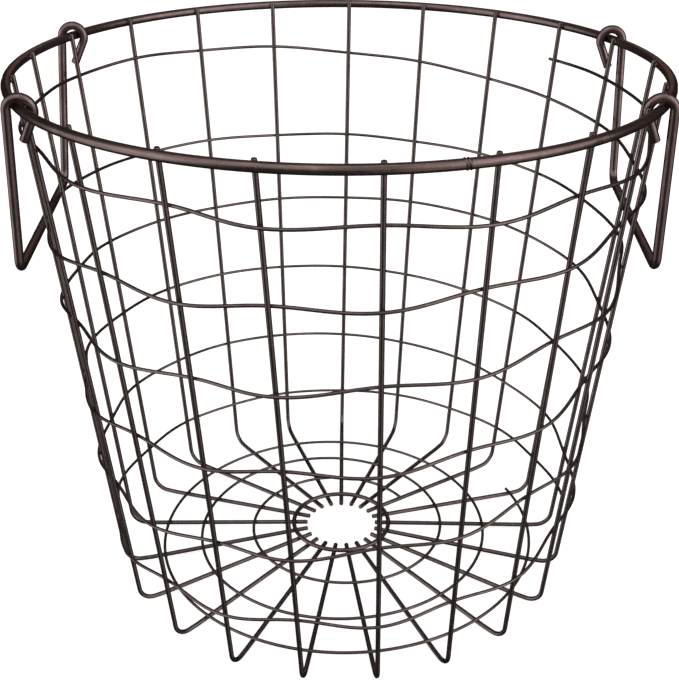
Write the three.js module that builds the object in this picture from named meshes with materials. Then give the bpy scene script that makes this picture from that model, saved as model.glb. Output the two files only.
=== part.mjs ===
// A round wire basket for collecting eggs, with two bail handles hooked on its rim.
// Millimetres, +Z up, the basket's axis on Z and its feet on z = 0. -Y is the front.
// Azimuths are in degrees, measured from +X towards +Y. Ribs are counted clockwise seen from above.
import * as THREE from "three";

// Wire diameters
const RIM_WIRE = 4.75;
const HANDLE_WIRE = 4.6;
const RIB_WIRE = 2.38;
const THIN_WIRE = 1.6;

// Clearance left between pieces that are welded or rest on each other
const GAP = 0.3;

// Rim and wall
const RIM_RADIUS = 165;
const WALL_DEPTH = 292.75; // rim centre line down to the centre line of the feet
const FOOT_RADIUS = 132; // where the lines of wall and foot meet
const RIB_COUNT = 21;
const RIB_TIP_RISE = 2.4; // how far the rib ends stand above the rim's centre line
const FOOT_BEND = 9;
const FOOT_FLAT_END = 118; // radius where a foot ends and its spoke starts to rise
const FIRST_RIB_TOP = 87.95; // azimuths of the first rib at the rim and at its foot
const FIRST_RIB_FOOT = 89.6;
// How far each rib is off even spacing at the rim, in degrees
const RIB_LEANS = [
  -0.25, 0, 0, 0.25, 0.75, -0.75, 0, 0, -0.5, -0.75, -0.5, -1.25, 1, 0, 0, 0, 0, 1, 0.5, 0.5, 0,
];

// Base
const BASE_CENTRE = new THREE.Vector3(2, 0, 0); // the base sits slightly off the rim's axis
const BASE_RING_RADIUS = 29.4;
const BASE_RISE = 5.9; // the spokes' climb from foot to ring
const SPOKE_END_RADIUS = 21.1;
const RISE_BEND = 30;

// The weaver's depth below the rim centre line, at each quarter turn from its upper end
const WEAVER_DEPTHS = [
  19, 28, 23, 22, 42, 60, 70, 79, 88, 102, 113, 123, 128, 147, 160, 169, 181, 195, 212, 219,
  231, 245, 255, 265, 267, 262,
];
const WEAVER_SWAY = 1; // outer crossings lie lower than inner ones by twice this
const WEAVER_FIRST_RIB = 3;
const WEAVER_LENGTH = 128; // in rib spaces

// The base spiral's radius at each quarter turn from its outer end
const SPIRAL_RADII = [118, 112, 110, 103, 90, 86, 87, 80, 64, 58, 55, 52, 47];
const SPIRAL_FIRST_RIB = 4;
const SPIRAL_LENGTH = 62; // in rib spaces

// Handles
const HOOK_RADIUS = 6.1;
const HOOK_DROP = 0.6; // hook centre below the rim centre line, so that the hook turns freely on the rim
const HOOK_TURN = 201;
const HOOK_END = 13.4;
const HANDLE_CORNER_BEND = 7;
const LEFT_HANDLE = { azimuth: 182.75, halfAngle: 27.25, length: 82.5, gripHalf: 66.3, lean: 3.8 };
const RIGHT_HANDLE = { azimuth: -3.2, halfAngle: 25.7, length: 80.4, gripHalf: 65.6, lean: 1.9 };

// Facets
const THICK_SIDES = 8;
const THIN_SIDES = 6;
const RIM_SEGMENTS = 72;
const BASE_RING_SEGMENTS = 32;
const WEAVER_STEPS = 4; // per rib space
const SPIRAL_STEPS = 3; // per rib space
const FOOT_BEND_STEPS = 7;
const RISE_BEND_STEPS = 1;
const HOOK_STEPS = 12;
const HANDLE_CORNER_STEPS = 6;

// Worked out from the above
const FLAT_TO_CENTRE = (RIB_WIRE / 2) * Math.cos(Math.PI / THICK_SIDES); // a rib facet to the rib's centre
const FOOT_HEIGHT = FLAT_TO_CENTRE;
const RIM_HEIGHT = FOOT_HEIGHT + WALL_DEPTH;
const RIB_TOP_RADIUS = RIM_RADIUS - (RIM_WIRE + RIB_WIRE) / 2 - GAP;
const RIB_SPACING = 360 / RIB_COUNT;
const WEAVER_OFFSET = (RIB_WIRE + THIN_WIRE) / 2 + GAP;

const UP = new THREE.Vector3(0, 0, 1);
const radians = THREE.MathUtils.degToRad;

function bronzeCoating(shade) {
  return new THREE.MeshStandardMaterial({ color: shade, roughness: 0.45, metalness: 0.6 });
}

// A point given by its distance from the Z axis, its azimuth and its height.
function polar(radius, azimuth, height) {
  return new THREE.Vector3(radius * Math.cos(radians(azimuth)), radius * Math.sin(radians(azimuth)), height);
}

// A wire's centre line: stations of one point and one direction each.
class WirePath extends THREE.Curve {
  constructor(stations) {
    super();
    this.stations = stations;
  }

  station(t) {
    return this.stations[Math.round(t * (this.stations.length - 1))];
  }

  getPointAt(t) {
    return this.station(t).point.clone();
  }

  getTangentAt(t) {
    return this.station(t).tangent.clone();
  }
}

// A regular polygon with flat sides facing along its own X axis.
function wireSection(diameter, sides) {
  const corners = [];
  for (let side = 0; side < sides; side += 1) {
    const angle = ((side + 0.5) / sides) * 2 * Math.PI;
    corners.push(new THREE.Vector2(Math.cos(angle), Math.sin(angle)).multiplyScalar(diameter / 2));
  }
  return new THREE.Shape(corners);
}

function wireMesh(name, stations, diameter, sides, shade) {
  const geometry = new THREE.ExtrudeGeometry(wireSection(diameter, sides), {
    steps: stations.length - 1,
    extrudePath: new WirePath(stations),
  });
  const mesh = new THREE.Mesh(geometry, bronzeCoating(shade));
  mesh.name = name;
  return mesh;
}

// Stations of a round bend near `corner`, between straight runs from `before` and to `after`.
function bendStations(before, corner, after, radius, steps) {
  const arriving = corner.clone().sub(before).normalize();
  const leaving = after.clone().sub(corner).normalize();
  const turn = arriving.angleTo(leaving);
  const towardsCentre = leaving.clone().addScaledVector(arriving, -Math.cos(turn)).normalize();
  const start = corner.clone().addScaledVector(arriving, -radius * Math.tan(turn / 2));
  const stations = [];
  for (let step = 0; step <= steps; step += 1) {
    const angle = (turn * step) / steps;
    const point = start
      .clone()
      .addScaledVector(arriving, radius * Math.sin(angle))
      .addScaledVector(towardsCentre, radius * (1 - Math.cos(angle)));
    const tangent = arriving
      .clone()
      .multiplyScalar(Math.cos(angle))
      .addScaledVector(towardsCentre, Math.sin(angle));
    stations.push({ point, tangent });
  }
  return stations;
}

function endStation(point, direction) {
  return { point, tangent: direction.clone().normalize() };
}

// Evenly spaced stations along a formula, from `start` to `end` of its parameter.
function formulaStations(pointAt, start, end, steps) {
  const nudge = (end - start) / steps / 10;
  const stations = [];
  for (let step = 0; step <= steps; step += 1) {
    const place = start + ((end - start) * step) / steps;
    const tangent = pointAt(place + nudge).sub(pointAt(place - nudge)).normalize();
    stations.push({ point: pointAt(place), tangent });
  }
  return stations;
}

// A smooth value through `values`, which lie `spacing` apart along the parameter.
function smoothValues(values, spacing) {
  const curve = new THREE.SplineCurve(values.map((value, index) => new THREE.Vector2(index, value)));
  const span = (values.length - 1) * spacing;
  return (place) => curve.getPoint(THREE.MathUtils.clamp(place / span, 0, 1)).y;
}

// Height of the spokes' centre line above the floor.
function spokeHeight(radius) {
  const climb = (FOOT_FLAT_END - radius) / (FOOT_FLAT_END - BASE_RING_RADIUS);
  return FOOT_HEIGHT + BASE_RISE * Math.max(climb, 0);
}

function ring(name, radius, diameter, segments, centre, shade) {
  const geometry = new THREE.TorusGeometry(radius, diameter / 2, THICK_SIDES, segments);
  const mesh = new THREE.Mesh(geometry, bronzeCoating(shade));
  mesh.name = name;
  mesh.position.copy(centre);
  return mesh;
}

// Where rib number `place` crosses the rim and where its wall line meets its foot.
// A fraction gives a point between two ribs.
function ribTop(place) {
  const before = Math.floor(place);
  const leanBefore = RIB_LEANS[before % RIB_COUNT];
  const leanAfter = RIB_LEANS[(before + 1) % RIB_COUNT];
  const lean = THREE.MathUtils.lerp(leanBefore, leanAfter, place - before);
  return polar(RIB_TOP_RADIUS, FIRST_RIB_TOP + lean - place * RIB_SPACING, RIM_HEIGHT);
}

function ribFoot(place) {
  return polar(FOOT_RADIUS, FIRST_RIB_FOOT - place * RIB_SPACING, FOOT_HEIGHT).add(BASE_CENTRE);
}

// One rib, drawn in the XZ plane from the inner end of its spoke and then turned to its place.
function rib(index) {
  const azimuth = radians(FIRST_RIB_FOOT - index * RIB_SPACING);
  const spokeEnd = new THREE.Vector3(SPOKE_END_RADIUS, 0, spokeHeight(SPOKE_END_RADIUS));
  const riseStart = new THREE.Vector3(FOOT_FLAT_END, 0, FOOT_HEIGHT);
  const corner = new THREE.Vector3(FOOT_RADIUS, 0, FOOT_HEIGHT);
  const atRim = ribTop(index).sub(BASE_CENTRE).applyAxisAngle(UP, -azimuth);
  const tip = atRim.clone().lerp(corner, -RIB_TIP_RISE / WALL_DEPTH);
  const stations = [
    endStation(spokeEnd, riseStart.clone().sub(spokeEnd)),
    ...bendStations(spokeEnd, riseStart, corner, RISE_BEND, RISE_BEND_STEPS),
    ...bendStations(riseStart, corner, tip, FOOT_BEND, FOOT_BEND_STEPS),
    endStation(tip, tip.clone().sub(corner)),
  ];
  const name = `rib_${String(index + 1).padStart(2, "0")}`;
  const mesh = wireMesh(name, stations, RIB_WIRE, THICK_SIDES, 0x42352f);
  mesh.rotation.z = azimuth;
  mesh.position.copy(BASE_CENTRE);
  return mesh;
}

// The thin wire that winds down the wall, outside one rib and inside the next.
function wallWeaver() {
  const depthAt = smoothValues(WEAVER_DEPTHS, RIB_COUNT / 4);
  const pointAt = (place) => {
    const side = Math.cos(Math.PI * place);
    const depth = depthAt(place) + WEAVER_SWAY * side;
    const ribPlace = WEAVER_FIRST_RIB + place;
    const point = ribTop(ribPlace).lerp(ribFoot(ribPlace), depth / WALL_DEPTH);
    const outwards = point.clone().setZ(0).normalize();
    return point.addScaledVector(outwards, WEAVER_OFFSET * side);
  };
  const overhang = 1 / WEAVER_STEPS / 2;
  const steps = WEAVER_LENGTH * WEAVER_STEPS + 1;
  const stations = formulaStations(pointAt, -overhang, WEAVER_LENGTH + overhang, steps);
  return wireMesh("wall_weaver", stations, THIN_WIRE, THIN_SIDES, 0x4a3c36);
}

// The thin wire wound in a flat spiral on top of the spokes.
function baseSpiral() {
  const radiusAt = smoothValues(SPIRAL_RADII, RIB_COUNT / 4);
  const pointAt = (place) => {
    const radius = radiusAt(place);
    const height = spokeHeight(radius) + (RIB_WIRE + THIN_WIRE) / 2 + GAP;
    const azimuth = FIRST_RIB_FOOT - (SPIRAL_FIRST_RIB + place) * RIB_SPACING;
    return polar(radius, azimuth, height).add(BASE_CENTRE);
  };
  const overhang = 1 / SPIRAL_STEPS / 4;
  const steps = SPIRAL_LENGTH * SPIRAL_STEPS;
  const stations = formulaStations(pointAt, -overhang, SPIRAL_LENGTH + overhang, steps);
  return wireMesh("base_spiral", stations, THIN_WIRE, THIN_SIDES, 0x4a3c36);
}

// A bail handle, drawn at the origin with +X outwards and Y along the line through its two hooks.
function handle(name, { azimuth, halfAngle, length, gripHalf, lean }) {
  const hookHalf = RIM_RADIUS * Math.sin(radians(halfAngle));
  const upLeg = new THREE.Vector3(0, hookHalf - gripHalf, length).normalize();
  const hookCentre = new THREE.Vector3(0, hookHalf, 0).addScaledVector(upLeg, -HOOK_DROP);
  const outwards = new THREE.Vector3(1, 0, 0);
  const hook = [];
  for (let step = 0; step <= HOOK_STEPS; step += 1) {
    const angle = radians(HOOK_TURN) * (1 - step / HOOK_STEPS);
    const point = hookCentre
      .clone()
      .addScaledVector(outwards, HOOK_RADIUS * Math.cos(angle))
      .addScaledVector(upLeg, HOOK_RADIUS * Math.sin(angle));
    const tangent = outwards
      .clone()
      .multiplyScalar(Math.sin(angle))
      .addScaledVector(upLeg, -Math.cos(angle));
    hook.push({ point, tangent });
  }
  const hookTip = hook[0].point.clone().addScaledVector(hook[0].tangent, -HOOK_END);
  const corner = new THREE.Vector3(HOOK_RADIUS, gripHalf, -length);
  const middle = new THREE.Vector3(HOOK_RADIUS, 0, -length);
  const half = [
    endStation(hookTip, hook[0].tangent),
    ...hook,
    ...bendStations(hook.at(-1).point, corner, middle, HANDLE_CORNER_BEND, HANDLE_CORNER_STEPS),
  ];
  const flip = new THREE.Vector3(1, -1, 1);
  const otherHalf = half.toReversed().map(({ point, tangent }) => ({
    point: point.clone().multiply(flip),
    tangent: tangent.clone().multiply(flip).negate(),
  }));
  const mesh = wireMesh(name, [...half, ...otherHalf], HANDLE_WIRE, THICK_SIDES, 0x3e322d);
  mesh.geometry.rotateY(-radians(lean));
  mesh.rotation.z = radians(azimuth);
  mesh.position.copy(polar(RIM_RADIUS * Math.cos(radians(halfAngle)), azimuth, RIM_HEIGHT));
  return mesh;
}

function rim() {
  return ring("rim", RIM_RADIUS, RIM_WIRE, RIM_SEGMENTS, new THREE.Vector3(0, 0, RIM_HEIGHT), 0x3e322d);
}

function baseRing() {
  const centre = BASE_CENTRE.clone().setZ(spokeHeight(BASE_RING_RADIUS) + RIB_WIRE + GAP);
  return ring("base_ring", BASE_RING_RADIUS, RIB_WIRE, BASE_RING_SEGMENTS, centre, 0x42352f);
}

function eggBasket() {
  const basket = new THREE.Group();
  basket.name = "egg_basket";
  basket.add(rim());
  for (let index = 0; index < RIB_COUNT; index += 1) {
    basket.add(rib(index));
  }
  basket.add(wallWeaver());
  basket.add(baseSpiral());
  basket.add(baseRing());
  basket.add(handle("handle_left", LEFT_HANDLE));
  basket.add(handle("handle_right", RIGHT_HANDLE));
  return basket;
}

export default eggBasket();
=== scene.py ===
"""A round wire basket for collecting eggs, with two bail handles hooked on its rim.

Each wire is a smooth tube on the centre line of its CAD node and stands for that node.
Lengths below are in millimetres and become metres when a mesh is made. +Z is up and -Y the front.
Azimuths are in degrees from +X towards +Y. Ribs are counted clockwise seen from above.
"""

import math

import bmesh
import bpy
from mathutils import Matrix, Vector, noise


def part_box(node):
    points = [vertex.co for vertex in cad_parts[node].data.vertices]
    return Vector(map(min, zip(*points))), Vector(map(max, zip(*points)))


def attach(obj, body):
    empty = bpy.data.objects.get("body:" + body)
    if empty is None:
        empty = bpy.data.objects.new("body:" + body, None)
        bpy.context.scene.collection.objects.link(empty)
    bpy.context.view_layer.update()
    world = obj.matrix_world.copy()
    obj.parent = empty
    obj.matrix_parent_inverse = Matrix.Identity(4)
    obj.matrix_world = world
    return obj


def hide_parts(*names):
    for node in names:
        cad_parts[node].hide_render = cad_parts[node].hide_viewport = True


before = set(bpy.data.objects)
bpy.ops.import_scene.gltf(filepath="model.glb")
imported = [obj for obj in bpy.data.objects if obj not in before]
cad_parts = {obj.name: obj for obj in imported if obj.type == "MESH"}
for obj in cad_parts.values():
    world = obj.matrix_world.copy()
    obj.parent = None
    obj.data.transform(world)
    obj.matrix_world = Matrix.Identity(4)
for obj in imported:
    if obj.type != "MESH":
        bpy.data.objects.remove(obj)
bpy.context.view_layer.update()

METRES = 0.001  # in a millimetre

# Wire diameters. Ribs and thin wires are thicker than in CAD by their coating.
RIM_WIRE = 4.75
HANDLE_WIRE = 4.6
RIB_WIRE = 2.58
THIN_WIRE = 1.78

# How deep welded wires are pressed into each other, and wires that only rest on each other
WELD_SINK = 0.2
COATING_SINK = 0.06

# Rim and wall
RIM_RADIUS = 165
RIM_HEIGHT = (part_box("rim")[0].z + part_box("rim")[1].z) / 2 / METRES
FOOT_RADIUS = 132  # where the lines of wall and foot meet
RIB_COUNT = 21
RIB_SPACING = 360 / RIB_COUNT
RIB_TIP_RISE = 2.4  # how far the rib ends stand above the rim's centre line
FOOT_BEND = 9
FOOT_FLAT_END = 118  # radius where a foot ends and its spoke starts to rise
FIRST_RIB_TOP = 87.95  # azimuths of the first rib at the rim and at its foot
FIRST_RIB_FOOT = 89.6
# How far each rib is off even spacing at the rim, in degrees
RIB_LEANS = [
    -0.25, 0, 0, 0.25, 0.75, -0.75, 0, 0, -0.5, -0.75, -0.5, -1.25, 1, 0, 0, 0, 0, 1, 0.5, 0.5, 0,
]  # fmt: skip
FOOT_HEIGHT = RIB_WIRE / 2
RIB_TOP_RADIUS = RIM_RADIUS - (RIM_WIRE + RIB_WIRE) / 2 + WELD_SINK
WALL_DEPTH = RIM_HEIGHT - FOOT_HEIGHT

# Base
BASE_CENTRE = Vector((2, 0, 0))  # the base sits slightly off the rim's axis
BASE_RING_RADIUS = 29.4
BASE_RISE = 5.9  # the spokes' climb from foot to ring
SPOKE_END_RADIUS = 21.1
RISE_BEND = 30
RISE_BEND_STEPS = 4

# Depth of the weaver below the rim's centre line at each quarter turn from its upper end
WEAVER_DEPTHS = [
    19, 28, 23, 22, 42, 60, 70, 79, 88, 102, 113, 123, 128, 147, 160, 169, 181, 195, 212, 219,
    231, 245, 255, 265, 267, 262,
]  # fmt: skip
WEAVER_SWAY = 1  # outer crossings lie lower than inner ones by twice this
WEAVER_FIRST_RIB = 3
WEAVER_LENGTH = 128  # in rib spaces, as is its overhang at each end
WEAVER_OVERHANG = 0.125
WEAVER_OFFSET = (RIB_WIRE + THIN_WIRE) / 2 - COATING_SINK

# Radius of the base spiral at each quarter turn from its outer end
SPIRAL_RADII = [118, 112, 110, 103, 90, 86, 87, 80, 64, 58, 55, 52, 47]
SPIRAL_FIRST_RIB = 4
SPIRAL_LENGTH = 62  # in rib spaces, as is its overhang at each end
SPIRAL_OVERHANG = 1 / 12

# Handles
HOOK_RADIUS = 6.1
HOOK_DROP = 0.6  # hook centre below the rim's centre line
HOOK_TURN = 201  # degrees that each hook bends through
HOOK_END = 13.4  # length of its straight end
HANDLE_CORNER_BEND = 7
LEFT_HANDLE = {
    "azimuth": 182.75,
    "half_angle": 27.25,
    "length": 82.5,
    "grip_half": 66.3,
    "lean": 3.8,
}
RIGHT_HANDLE = {
    "azimuth": -3.2,
    "half_angle": 25.7,
    "length": 80.4,
    "grip_half": 65.6,
    "lean": 1.9,
}

# The butt weld that closes the rim: two raised lips with a groove between them
SEAM_AZIMUTH = -72.5
SEAM_SPAN = 2.4  # degrees that are meshed finely
SEAM_STEPS = 60
SEAM_SLANT = 0.5  # how far the seam leans along the rim, from its middle to its top
SEAM_LIP_HEIGHT = 0.34
SEAM_LIP_SPREAD = 0.75  # from the seam to the top of each lip
SEAM_LIP_WIDTH = 0.42
SEAM_GROOVE_DEPTH = 0.3
SEAM_GROOVE_WIDTH = 0.3

# Pits that the welding electrodes left on the rim, outside each rib
PIT_DEPTH = 0.16
PIT_LENGTH = 3.2
PIT_NARROWNESS = 3  # a higher number keeps them nearer the rim's outermost line
PIT_RIPPLE = 1.6
PIT_RIPPLE_SCALE = 0.6

# Beads of weld and coating: half length, half width and half height
RIM_WELD = (1.5, 1.55, 0.75)
RING_WELD = (1.25, 1.25, 0.5)
CROSSING_BEAD = (1.0, 0.85, 0.3)
BEAD_LUMPS = 0.16
BEAD_LUMP_SCALE = 0.9

# How far the cut ends of wires are rounded
RIB_EDGE = 0.45
THIN_EDGE = 0.2
HANDLE_EDGE = 0.4

# Mesh fineness
THICK_SIDES = 24
RIB_SIDES = 16
THIN_SIDES = 12
RIM_SEGMENTS = 720
RING_SEGMENTS = 144
STEPS_PER_RIB = 12
STRAIGHT_STEP = 6
BEND_STEPS = 12
HOOK_STEPS = 40
EDGE_STEPS = 4
BEAD_ROWS = 8
BEAD_SIDES = 12
BEAD_CAP = 0.15  # share of a row left open, and capped, at each end

UP = Vector((0, 0, 1))

# Coatings: dark, light and rubbed colour. The set for ribs and thin wires is the same bronze made
# darker, as painted shade for how dark those wires look under the lights
HEAVY_COLOURS = ((0.160, 0.120, 0.114), (0.208, 0.158, 0.151), (0.28, 0.222, 0.212))
THIN_WIRE_COLOURS_WITH_PAINTED_SHADE = ((0.125, 0.103, 0.098), (0.165, 0.137, 0.131), (0.23, 0.192, 0.184))
EDGE_TINT = (0.35, 0.28, 0.27, 1)
METALLIC = 0.92
SPECULAR_LEVEL = 0.2
SMOOTHEST = 0.20
ROUGHEST = 0.32
BUMP_STRENGTH = 0.25
BUMP_HEIGHT = 0.00012  # in metres

# Fineness of the coating's patterns, in features per metre
MOTTLE_SCALE = 70
WEAR_SCALE = 160
PEEL_SCALE = 380
GRAIN_SCALE = 900

# Camera
EYE = Vector((-1.393, -582.73, 434.21))
PITCH = 0.4736  # below the horizon, in radians, as are yaw and roll
YAW = 0.00333
ROLL = -0.0038
LENS = 60.48
SENSOR = 36

# Stage, in metres
FLOOR_FLAT = 5  # radius of the flat part
FLOOR_CURVE = 4
FLOOR_CURVE_STEPS = 12
FLOOR_SPOKES = 64
FLOOR_WHITE = (0.8, 0.8, 0.8, 1)
FLOOR_DROP = 0.0002
FLOOR_GLOW = 0.78

# Light panels round the basket: direction, angles at which each is full and gone, and colour
ROOM_LIGHT = (0.035, 0.032, 0.032)
LIGHT_PANELS = [
    ((-0.97, -0.22, -0.10), 20, 42, (1.25, 1.24, 1.23)),
    ((0.85, -0.45, 0.38), 18, 42, (1.55, 1.45, 1.42)),
    ((0.76, -0.60, -0.30), 18, 44, (0.58, 0.52, 0.51)),
    ((0.0, -0.90, 0.45), 8, 34, (0.50, 0.46, 0.46)),
    ((-0.62, -0.50, 0.60), 12, 46, (0.95, 0.86, 0.86)),
    ((0.05, 0.93, 0.32), 6, 22, (0.60, 0.58, 0.55)),
    ((0.1, 0.2, 1.0), 20, 60, (0.12, 0.11, 0.11)),
]


# ---------------------------------------------------------------- centre lines


def polar(radius, azimuth, height):
    angle = math.radians(azimuth)
    return Vector((radius * math.cos(angle), radius * math.sin(angle), height))


def turned(vector, axis, degrees):
    return Matrix.Rotation(math.radians(degrees), 3, axis) @ vector


def bend_points(before, corner, after, radius, steps=BEND_STEPS):
    """Points of a round bend near corner, between straight runs from before and to after."""
    arriving = (corner - before).normalized()
    leaving = (after - corner).normalized()
    turn = arriving.angle(leaving)
    towards_centre = (leaving - arriving * math.cos(turn)).normalized()
    start = corner - arriving * radius * math.tan(turn / 2)
    points = []
    for step in range(steps + 1):
        angle = turn * step / steps
        along = arriving * radius * math.sin(angle)
        across = towards_centre * radius * (1 - math.cos(angle))
        points.append(start + along + across)
    return points


def with_straight_steps(points):
    """The same line with extra points along its long straight runs."""
    filled = [points[0]]
    for start, end in zip(points, points[1:]):
        count = max(1, round((end - start).length / STRAIGHT_STEP))
        for step in range(1, count + 1):
            filled.append(start.lerp(end, step / count))
    return filled


def smooth_values(values, spacing):
    """A smooth value through values, which lie spacing apart along the parameter."""
    last = len(values) - 1

    def value_at(place):
        position = min(max(place / spacing, 0), last)
        index = min(int(position), last - 1)
        t = position - index
        p0 = values[max(index - 1, 0)]
        p1 = values[index]
        p2 = values[index + 1]
        p3 = values[min(index + 2, last)]
        v0 = (p2 - p0) / 2
        v1 = (p3 - p1) / 2
        cubic = (2 * (p1 - p2) + v0 + v1) * t**3
        square = (3 * (p2 - p1) - 2 * v0 - v1) * t**2
        return cubic + square + v0 * t + p1

    return value_at


def spoke_height(radius):
    climb = (FOOT_FLAT_END - radius) / (FOOT_FLAT_END - BASE_RING_RADIUS)
    return FOOT_HEIGHT + BASE_RISE * max(climb, 0)


def rib_top(place):
    """Where rib number place crosses the rim. A fraction gives a point between two ribs."""
    before = math.floor(place)
    lean_before = RIB_LEANS[before % RIB_COUNT]
    lean_after = RIB_LEANS[(before + 1) % RIB_COUNT]
    lean = lean_before + (lean_after - lean_before) * (place - before)
    return polar(RIB_TOP_RADIUS, FIRST_RIB_TOP + lean - place * RIB_SPACING, RIM_HEIGHT)


def rib_foot(place):
    """Where the wall line of rib number place meets its foot."""
    return polar(FOOT_RADIUS, FIRST_RIB_FOOT - place * RIB_SPACING, FOOT_HEIGHT) + BASE_CENTRE


def rib_line(index):
    azimuth = FIRST_RIB_FOOT - index * RIB_SPACING
    spoke_end = polar(SPOKE_END_RADIUS, azimuth, spoke_height(SPOKE_END_RADIUS)) + BASE_CENTRE
    rise_start = polar(FOOT_FLAT_END, azimuth, FOOT_HEIGHT) + BASE_CENTRE
    corner = rib_foot(index)
    tip = rib_top(index).lerp(corner, -RIB_TIP_RISE / WALL_DEPTH)
    points = [spoke_end]
    points += bend_points(spoke_end, rise_start, corner, RISE_BEND, RISE_BEND_STEPS)
    points += bend_points(rise_start, corner, tip, FOOT_BEND)
    points.append(tip)
    return with_straight_steps(points)


WEAVER_DEPTH_AT = smooth_values(WEAVER_DEPTHS, RIB_COUNT / 4)
SPIRAL_RADIUS_AT = smooth_values(SPIRAL_RADII, RIB_COUNT / 4)


def weaver_point(place):
    """Centre of the weaver, place rib spaces from its upper end. It passes ribs on alternate sides."""
    side = math.cos(math.pi * place)
    depth = WEAVER_DEPTH_AT(place) + WEAVER_SWAY * side
    rib_place = WEAVER_FIRST_RIB + place
    point = rib_top(rib_place).lerp(rib_foot(rib_place), depth / WALL_DEPTH)
    outwards = Vector((point.x, point.y, 0)).normalized()
    return point + outwards * WEAVER_OFFSET * side


def spiral_point(place):
    """Centre of the wire wound on top of the spokes, place rib spaces from its outer end."""
    radius = SPIRAL_RADIUS_AT(place)
    height = spoke_height(radius) + (RIB_WIRE + THIN_WIRE) / 2 - COATING_SINK
    azimuth = FIRST_RIB_FOOT - (SPIRAL_FIRST_RIB + place) * RIB_SPACING
    return polar(radius, azimuth, height) + BASE_CENTRE


def sampled(point_at, length, overhang):
    steps = round(length * STEPS_PER_RIB)
    span = length + 2 * overhang
    return [point_at(-overhang + span * step / steps) for step in range(steps + 1)]


def handle_line(azimuth, half_angle, length, grip_half, lean):
    """A bail handle from one hook's end to the other's."""
    hook_half = RIM_RADIUS * math.sin(math.radians(half_angle))
    up_leg = Vector((0, hook_half - grip_half, length)).normalized()
    hook_centre = Vector((0, hook_half, 0)) - up_leg * HOOK_DROP
    outwards = Vector((1, 0, 0))
    hook = []
    for step in range(HOOK_STEPS + 1):
        angle = math.radians(HOOK_TURN) * (1 - step / HOOK_STEPS)
        around = outwards * math.cos(angle) + up_leg * math.sin(angle)
        hook.append(hook_centre + around * HOOK_RADIUS)
    start_angle = math.radians(HOOK_TURN)
    start_direction = outwards * math.sin(start_angle) - up_leg * math.cos(start_angle)
    hook_tip = hook[0] - start_direction * HOOK_END
    corner = Vector((HOOK_RADIUS, grip_half, -length))
    middle = Vector((HOOK_RADIUS, 0, -length))
    half = [hook_tip, *hook, *bend_points(hook[-1], corner, middle, HANDLE_CORNER_BEND)]
    other_half = [Vector((point.x, -point.y, point.z)) for point in reversed(half)]
    chord_centre = polar(RIM_RADIUS * math.cos(math.radians(half_angle)), azimuth, RIM_HEIGHT)
    placed = []
    for point in with_straight_steps(half + other_half):
        leaned = turned(point, "Y", -lean)
        placed.append(turned(leaned, "Z", azimuth) + chord_centre)
    return placed


# ---------------------------------------------------------------- meshes


def skin(name, rings, closed):
    """A mesh object over rings of points. An open one is capped at both ends."""
    sides = len(rings[0])
    vertices = [point * METRES for ring in rings for point in ring]
    faces = []
    last = len(rings) if closed else len(rings) - 1
    for row in range(last):
        this_ring = row * sides
        next_ring = (row + 1) % len(rings) * sides
        for side in range(sides):
            after = (side + 1) % sides
            faces.append(
                (this_ring + side, this_ring + after, next_ring + after, next_ring + side)
            )
    if not closed:
        faces.append(tuple(reversed(range(sides))))
        faces.append(tuple(range((len(rings) - 1) * sides, len(rings) * sides)))
    mesh = bpy.data.meshes.new(name)
    mesh.from_pydata(vertices, [], faces)
    mesh.shade_smooth()
    piece = bpy.data.objects.new(name, mesh)
    bpy.context.scene.collection.objects.link(piece)
    return piece


def circle(centre, across, other, radius, sides):
    ring = []
    for side in range(sides):
        angle = 2 * math.pi * side / sides
        ring.append(centre + (across * math.cos(angle) + other * math.sin(angle)) * radius)
    return ring


def tube(name, points, diameter, sides, edge):
    """A round wire along points. Its cut ends are rounded off by edge."""
    radius = diameter / 2
    tangents = []
    for index in range(len(points)):
        before = points[max(index - 1, 0)]
        after = points[min(index + 1, len(points) - 1)]
        tangents.append((after - before).normalized())
    across = tangents[0].orthogonal().normalized()
    rings = []
    for index, (point, tangent) in enumerate(zip(points, tangents)):
        across = (across - tangent * across.dot(tangent)).normalized()
        other = tangent.cross(across)
        rounding = range(EDGE_STEPS + 1)
        if index == 0:
            for step in rounding:
                angle = math.pi / 2 * step / EDGE_STEPS
                centre = point + tangent * edge * (1 - math.cos(angle))
                shrunk = radius - edge * (1 - math.sin(angle))
                rings.append(circle(centre, across, other, shrunk, sides))
        elif index == len(points) - 1:
            for step in rounding:
                angle = math.pi / 2 * step / EDGE_STEPS
                centre = point - tangent * edge * (1 - math.sin(angle))
                shrunk = radius - edge * (1 - math.cos(angle))
                rings.append(circle(centre, across, other, shrunk, sides))
        else:
            rings.append(circle(point, across, other, radius, sides))
    return skin(name, rings, closed=False)


def degrees_apart(azimuth, other):
    return (azimuth - other + 180) % 360 - 180


def seam_swell(distance):
    """How far the rim's butt weld stands out, at a distance along the rim from the seam."""
    lip = (abs(distance) - SEAM_LIP_SPREAD) / SEAM_LIP_WIDTH
    groove = distance / SEAM_GROOVE_WIDTH
    return SEAM_LIP_HEIGHT * math.exp(-lip * lip) - SEAM_GROOVE_DEPTH * math.exp(-groove * groove)


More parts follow.
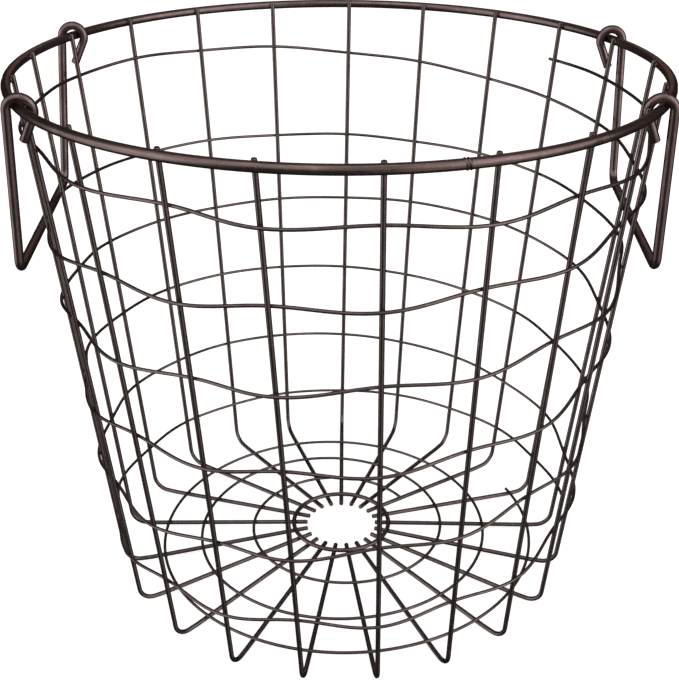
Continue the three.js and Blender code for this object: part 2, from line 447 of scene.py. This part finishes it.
def rim_mesh():
    azimuths = [360 * step / RIM_SEGMENTS for step in range(RIM_SEGMENTS)]
    azimuths = [a for a in azimuths if abs(degrees_apart(a, SEAM_AZIMUTH)) > SEAM_SPAN / 2]
    for step in range(SEAM_STEPS + 1):
        azimuths.append((SEAM_AZIMUTH + SEAM_SPAN * (step / SEAM_STEPS - 0.5)) % 360)
    azimuths.sort()
    weld_azimuths = []
    for index in range(RIB_COUNT):
        top = rib_top(index)
        weld_azimuths.append(math.degrees(math.atan2(top.y, top.x)))
    rings = []
    for azimuth in azimuths:
        seam_distance = math.radians(degrees_apart(azimuth, SEAM_AZIMUTH)) * RIM_RADIUS
        nearest = min(weld_azimuths, key=lambda weld: abs(degrees_apart(azimuth, weld)))
        weld_distance = math.radians(degrees_apart(azimuth, nearest)) * RIM_RADIUS
        outwards = polar(1, azimuth, 0)
        centre = polar(RIM_RADIUS, azimuth, RIM_HEIGHT)
        ring = []
        for side in range(THICK_SIDES):
            angle = 2 * math.pi * side / THICK_SIDES
            direction = outwards * math.cos(angle) + UP * math.sin(angle)
            slanted_distance = seam_distance + SEAM_SLANT * math.sin(angle)
            reach = RIM_WIRE / 2 + seam_swell(slanted_distance)
            facing_out = max(math.cos(angle), 0) ** PIT_NARROWNESS
            ripple = noise.noise((centre + direction * RIM_WIRE) * PIT_RIPPLE_SCALE)
            pit = math.exp(-((weld_distance / PIT_LENGTH) ** 2)) * facing_out
            reach -= PIT_DEPTH * pit * (1 + PIT_RIPPLE * ripple)
            ring.append(centre + direction * reach)
        rings.append(ring)
    return skin("rim_wire", rings, closed=True)


def base_ring_mesh():
    height = spoke_height(BASE_RING_RADIUS) + RIB_WIRE - WELD_SINK
    rings = []
    for step in range(RING_SEGMENTS):
        azimuth = 360 * step / RING_SEGMENTS
        centre = polar(BASE_RING_RADIUS, azimuth, height) + BASE_CENTRE
        rings.append(circle(centre, polar(1, azimuth, 0), UP, RIB_WIRE / 2, THICK_SIDES))
    return skin("base_ring_wire", rings, closed=True)


def bead_rings(centre, long_axis, side_axis, length, width, height):
    """Rings of one rounded bead of weld or coating, its long axis along long_axis."""
    up_axis = long_axis.cross(side_axis).normalized()
    rings = []
    for row in range(BEAD_ROWS + 1):
        angle = math.pi * (row + BEAD_CAP) / (BEAD_ROWS + 2 * BEAD_CAP)
        ring = []
        for side in range(BEAD_SIDES):
            turn = 2 * math.pi * side / BEAD_SIDES
            across = side_axis * (math.cos(turn) * width) + up_axis * (math.sin(turn) * height)
            point = centre - long_axis * (math.cos(angle) * length) + across * math.sin(angle)
            lumps = 1 + BEAD_LUMPS * noise.noise(point * BEAD_LUMP_SCALE)
            ring.append(centre + (point - centre) * lumps)
        rings.append(ring)
    return rings


def beads(name, places):
    """One object of separate beads, each given by the arguments of bead_rings."""
    made = []
    for index, place in enumerate(places):
        made.append(skin(f"{name}_{index}", bead_rings(*place), closed=False))
    with bpy.context.temp_override(active_object=made[0], selected_editable_objects=made):
        bpy.ops.object.join()
    made[0].name = name
    return made[0]


def rim_weld_places():
    """Where the ribs are welded to the inside of the rim."""
    places = []
    for index in range(RIB_COUNT):
        top = rib_top(index)
        outwards = Vector((top.x, top.y, 0)).normalized()
        along_rim = UP.cross(outwards)
        contact = top + outwards * (RIB_WIRE / 2 - WELD_SINK)
        along_rib = (top - rib_foot(index)).normalized()
        places.append((contact, along_rib, along_rim, *RIM_WELD))
    return places


def ring_weld_places():
    """Where the base ring is welded to the spokes under it."""
    places = []
    for index in range(RIB_COUNT):
        azimuth = FIRST_RIB_FOOT - index * RIB_SPACING
        outwards = polar(1, azimuth, 0)
        height = spoke_height(BASE_RING_RADIUS) + RIB_WIRE / 2 - WELD_SINK / 2
        contact = polar(BASE_RING_RADIUS, azimuth, height) + BASE_CENTRE
        places.append((contact, outwards, UP.cross(outwards), *RING_WELD))
    return places


def weaver_crossing_places():
    """Where the coating bridges the weaver and the ribs it touches."""
    places = []
    for place in range(WEAVER_LENGTH + 1):
        centre = weaver_point(place)
        side = 1 if place % 2 == 0 else -1
        outwards = Vector((centre.x, centre.y, 0)).normalized()
        contact = centre - outwards * side * (THIN_WIRE / 2)
        along = (weaver_point(place + 0.1) - weaver_point(place - 0.1)).normalized()
        places.append((contact, along, outwards.cross(along), *CROSSING_BEAD))
    return places


def spiral_crossing_places():
    """Where the coating bridges the spiral and the spokes under it."""
    places = []
    for place in range(SPIRAL_LENGTH + 1):
        centre = spiral_point(place)
        contact = centre - UP * (THIN_WIRE / 2)
        along = (spiral_point(place + 0.1) - spiral_point(place - 0.1)).normalized()
        places.append((contact, along, UP.cross(along).normalized(), *CROSSING_BEAD))
    return places


# ---------------------------------------------------------------- material


class Nodes:
    """Shorthand for building one node tree."""

    def __init__(self, tree):
        self.tree = tree
        self.tree.nodes.clear()

    def add(self, kind, values=None, **settings):
        node = self.tree.nodes.new(kind)
        for key, value in settings.items():
            setattr(node, key, value)
        for key, value in (values or {}).items():
            socket = node.inputs[key]
            if isinstance(value, bpy.types.NodeSocket):
                self.tree.links.new(value, socket)
            else:
                socket.default_value = value
        return node

    def ramp(self, factor, stops):
        node = self.add("ShaderNodeValToRGB", {"Fac": factor})
        elements = node.color_ramp.elements
        while len(elements) < len(stops):
            elements.new(0.5)
        for element, (position, colour) in zip(elements, stops):
            element.position = position
            element.color = (*colour, 1)
        return node.outputs["Color"]

    def noise(self, coordinates, scale, detail=3.0, roughness=0.5):
        values = {"Vector": coordinates, "Scale": scale, "Detail": detail, "Roughness": roughness}
        return self.add("ShaderNodeTexNoise", values).outputs["Fac"]


def bronze(name, dark, light, rubbed):
    """Dark bronze coating: mottled brown, slightly uneven sheen, rubbed lighter here and there."""
    material = bpy.data.materials.new(name)
    material.use_nodes = True
    nodes = Nodes(material.node_tree)
    place = nodes.add("ShaderNodeTexCoord").outputs["Object"]
    mottle = nodes.noise(place, MOTTLE_SCALE, 4, 0.6)
    grain = nodes.noise(place, GRAIN_SCALE, 3, 0.6)
    orange_peel = nodes.noise(place, PEEL_SCALE, 2, 0.5)
    wear = nodes.noise(place, WEAR_SCALE, 5, 0.65)
    base = nodes.ramp(mottle, [(0.36, dark), (0.64, light)])
    wear_factor = nodes.ramp(wear, [(0.56, (0, 0, 0)), (0.74, (1, 1, 1))])
    worn = nodes.add(
        "ShaderNodeMix",
        {"Factor": wear_factor, "A": base, "B": (*rubbed, 1)},
        data_type="RGBA",
    )
    colour = [socket for socket in worn.outputs if socket.type == "RGBA"][0]
    rough = nodes.add(
        "ShaderNodeMapRange",
        {
            "Value": grain,
            "From Min": 0.3,
            "From Max": 0.7,
            "To Min": SMOOTHEST,
            "To Max": ROUGHEST,
        },
    ).outputs["Result"]
    height = nodes.add(
        "ShaderNodeMath",
        {0: orange_peel, 1: grain},
        operation="ADD",
    ).outputs["Value"]
    bump = nodes.add(
        "ShaderNodeBump",
        {"Strength": BUMP_STRENGTH, "Distance": BUMP_HEIGHT, "Height": height},
    )
    shader = nodes.add(
        "ShaderNodeBsdfPrincipled",
        {
            "Base Color": colour,
            "Metallic": METALLIC,
            "Roughness": rough,
            "Specular IOR Level": SPECULAR_LEVEL,
            "Specular Tint": EDGE_TINT,
            "Normal": bump.outputs["Normal"],
        },
    )
    nodes.add("ShaderNodeOutputMaterial", {"Surface": shader.outputs["BSDF"]})
    return material


# ---------------------------------------------------------------- stage


def pale_floor():
    """A seamless white floor that curves up all round, as a plain background from every side."""
    profile = [(0, 0), (FLOOR_FLAT, 0)]
    for step in range(1, FLOOR_CURVE_STEPS + 1):
        angle = math.pi / 2 * step / FLOOR_CURVE_STEPS
        reach = FLOOR_FLAT + FLOOR_CURVE * math.sin(angle)
        profile.append((reach, FLOOR_CURVE * (1 - math.cos(angle))))
    mesh = bpy.data.meshes.new("floor")
    shape = bmesh.new()
    edge = [shape.verts.new((reach, 0, height - FLOOR_DROP)) for reach, height in profile]
    edges = [shape.edges.new(pair) for pair in zip(edge, edge[1:])]
    bmesh.ops.spin(
        shape,
        geom=edge + edges,
        axis=(0, 0, 1),
        cent=(0, 0, 0),
        angle=2 * math.pi,
        steps=FLOOR_SPOKES,
        use_merge=True,
    )
    bmesh.ops.remove_doubles(shape, verts=shape.verts, dist=1e-5)
    shape.to_mesh(mesh)
    shape.free()
    mesh.shade_smooth()
    floor = bpy.data.objects.new("floor", mesh)
    bpy.context.scene.collection.objects.link(floor)
    material = bpy.data.materials.new("floor_white")
    material.use_nodes = True
    nodes = Nodes(material.node_tree)
    diffuse = nodes.add("ShaderNodeBsdfDiffuse", {"Color": FLOOR_WHITE})
    glow = nodes.add("ShaderNodeEmission", {"Color": (1, 1, 1, 1), "Strength": FLOOR_GLOW})
    both = nodes.add("ShaderNodeAddShader", {0: diffuse.outputs[0], 1: glow.outputs[0]})
    nodes.add("ShaderNodeOutputMaterial", {"Surface": both.outputs[0]})
    floor.data.materials.append(material)
    floor.visible_glossy = False
    floor.visible_diffuse = False
    floor.visible_shadow = False


def softbox(name, location, target, width, height, power):
    data = bpy.data.lights.new(name, "AREA")
    data.shape = "RECTANGLE"
    data.size = width
    data.size_y = height
    data.energy = power
    lamp = bpy.data.objects.new(name, data)
    lamp.location = location
    lamp.rotation_euler = (Vector(target) - Vector(location)).to_track_quat("-Z", "Y").to_euler()
    bpy.context.scene.collection.objects.link(lamp)


def surroundings():
    """A dim room with large soft light panels, which the wires reflect."""
    world = bpy.data.worlds.new("studio")
    world.use_nodes = True
    nodes = Nodes(world.node_tree)
    direction = nodes.add("ShaderNodeTexCoord").outputs["Generated"]
    light = None
    for centre, inner, outer, colour in LIGHT_PANELS:
        towards = nodes.add(
            "ShaderNodeVectorMath",
            {0: direction, 1: Vector(centre).normalized()},
            operation="DOT_PRODUCT",
        ).outputs["Value"]
        share = nodes.add(
            "ShaderNodeMapRange",
            {
                "Value": towards,
                "From Min": math.cos(math.radians(outer)),
                "From Max": math.cos(math.radians(inner)),
            },
            interpolation_type="SMOOTHSTEP",
        ).outputs["Result"]
        panel = nodes.add("ShaderNodeVectorMath", {0: colour, "Scale": share}, operation="SCALE")
        base = ROOM_LIGHT if light is None else light
        light = nodes.add("ShaderNodeVectorMath", {0: base, 1: panel.outputs[0]}).outputs[0]
    background = nodes.add("ShaderNodeBackground", {"Color": light, "Strength": 1.0})
    nodes.add("ShaderNodeOutputWorld", {"Surface": background.outputs[0]})
    bpy.context.scene.world = world


def studio():
    pale_floor()
    surroundings()
    softbox(
        "top_softbox",
        location=(0.1, -0.5, 1.6),
        target=(0, 0, 0.15),
        width=1.4,
        height=0.9,
        power=3,
    )
    bpy.context.scene.view_settings.view_transform = "Standard"


def camera():
    """A viewpoint in front, looking down into the basket, with the image centre on the optical axis."""
    level_forward = Vector((math.sin(YAW), math.cos(YAW), 0))
    forward = level_forward * math.cos(PITCH) - UP * math.sin(PITCH)
    level_right = Vector((math.cos(YAW), -math.sin(YAW), 0))
    level_down = forward.cross(level_right)
    right = level_right * math.cos(ROLL) + level_down * math.sin(ROLL)
    down = level_down * math.cos(ROLL) - level_right * math.sin(ROLL)
    data = bpy.data.cameras.new("camera")
    data.sensor_fit = "HORIZONTAL"
    data.sensor_width = SENSOR
    data.lens = LENS
    data.clip_start = 0.01
    data.clip_end = 50
    eye_object = bpy.data.objects.new("camera", data)
    axes = Matrix((right, -down, -forward)).transposed()
    eye_object.matrix_world = Matrix.Translation(EYE * METRES) @ axes.to_4x4()
    bpy.context.scene.collection.objects.link(eye_object)
    bpy.context.scene.camera = eye_object


# ---------------------------------------------------------------- the basket


def finish_piece(piece, body, slot, material, *nodes):
    piece.data.materials.append(material)
    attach(piece, body)
    if nodes:
        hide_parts(*nodes)


def build_basket():
    heavy = bronze("bronze_heavy", *HEAVY_COLOURS)
    # Ribs and thin wires get a darker copy of the same bronze: painted shade, not a different coating
    light = bronze("bronze_thin_painted_shade", *THIN_WIRE_COLOURS_WITH_PAINTED_SHADE)
    finish_piece(rim_mesh(), "basket", "rim_wire", heavy, "rim")
    for index in range(RIB_COUNT):
        node = f"rib_{index + 1:02d}"
        wire = tube(f"{node}_wire", rib_line(index), RIB_WIRE, RIB_SIDES, RIB_EDGE)
        finish_piece(wire, "basket", "rib_wire", light, node)
    weaver = tube(
        "wall_weaver_wire",
        sampled(weaver_point, WEAVER_LENGTH, WEAVER_OVERHANG),
        THIN_WIRE,
        THIN_SIDES,
        THIN_EDGE,
    )
    finish_piece(weaver, "basket", "weaving_wire", light, "wall_weaver")
    spiral = tube(
        "base_spiral_wire",
        sampled(spiral_point, SPIRAL_LENGTH, SPIRAL_OVERHANG),
        THIN_WIRE,
        THIN_SIDES,
        THIN_EDGE,
    )
    finish_piece(spiral, "basket", "weaving_wire", light, "base_spiral")
    finish_piece(base_ring_mesh(), "basket", "rib_wire", light, "base_ring")
    finish_piece(beads("rim_welds", rim_weld_places()), "basket", "rim_wire", heavy)
    finish_piece(beads("base_ring_welds", ring_weld_places()), "basket", "rib_wire", light)
    finish_piece(beads("weaver_crossings", weaver_crossing_places()), "basket", "weaving_wire", light)
    finish_piece(beads("spiral_crossings", spiral_crossing_places()), "basket", "weaving_wire", light)
    for side, sizes in (("left", LEFT_HANDLE), ("right", RIGHT_HANDLE)):
        line = handle_line(**sizes)
        wire = tube(f"handle_{side}_wire", line, HANDLE_WIRE, THICK_SIDES, HANDLE_EDGE)
        finish_piece(wire, f"{side}_handle", "handle_wire", heavy, f"handle_{side}")


camera()
studio()
build_basket()
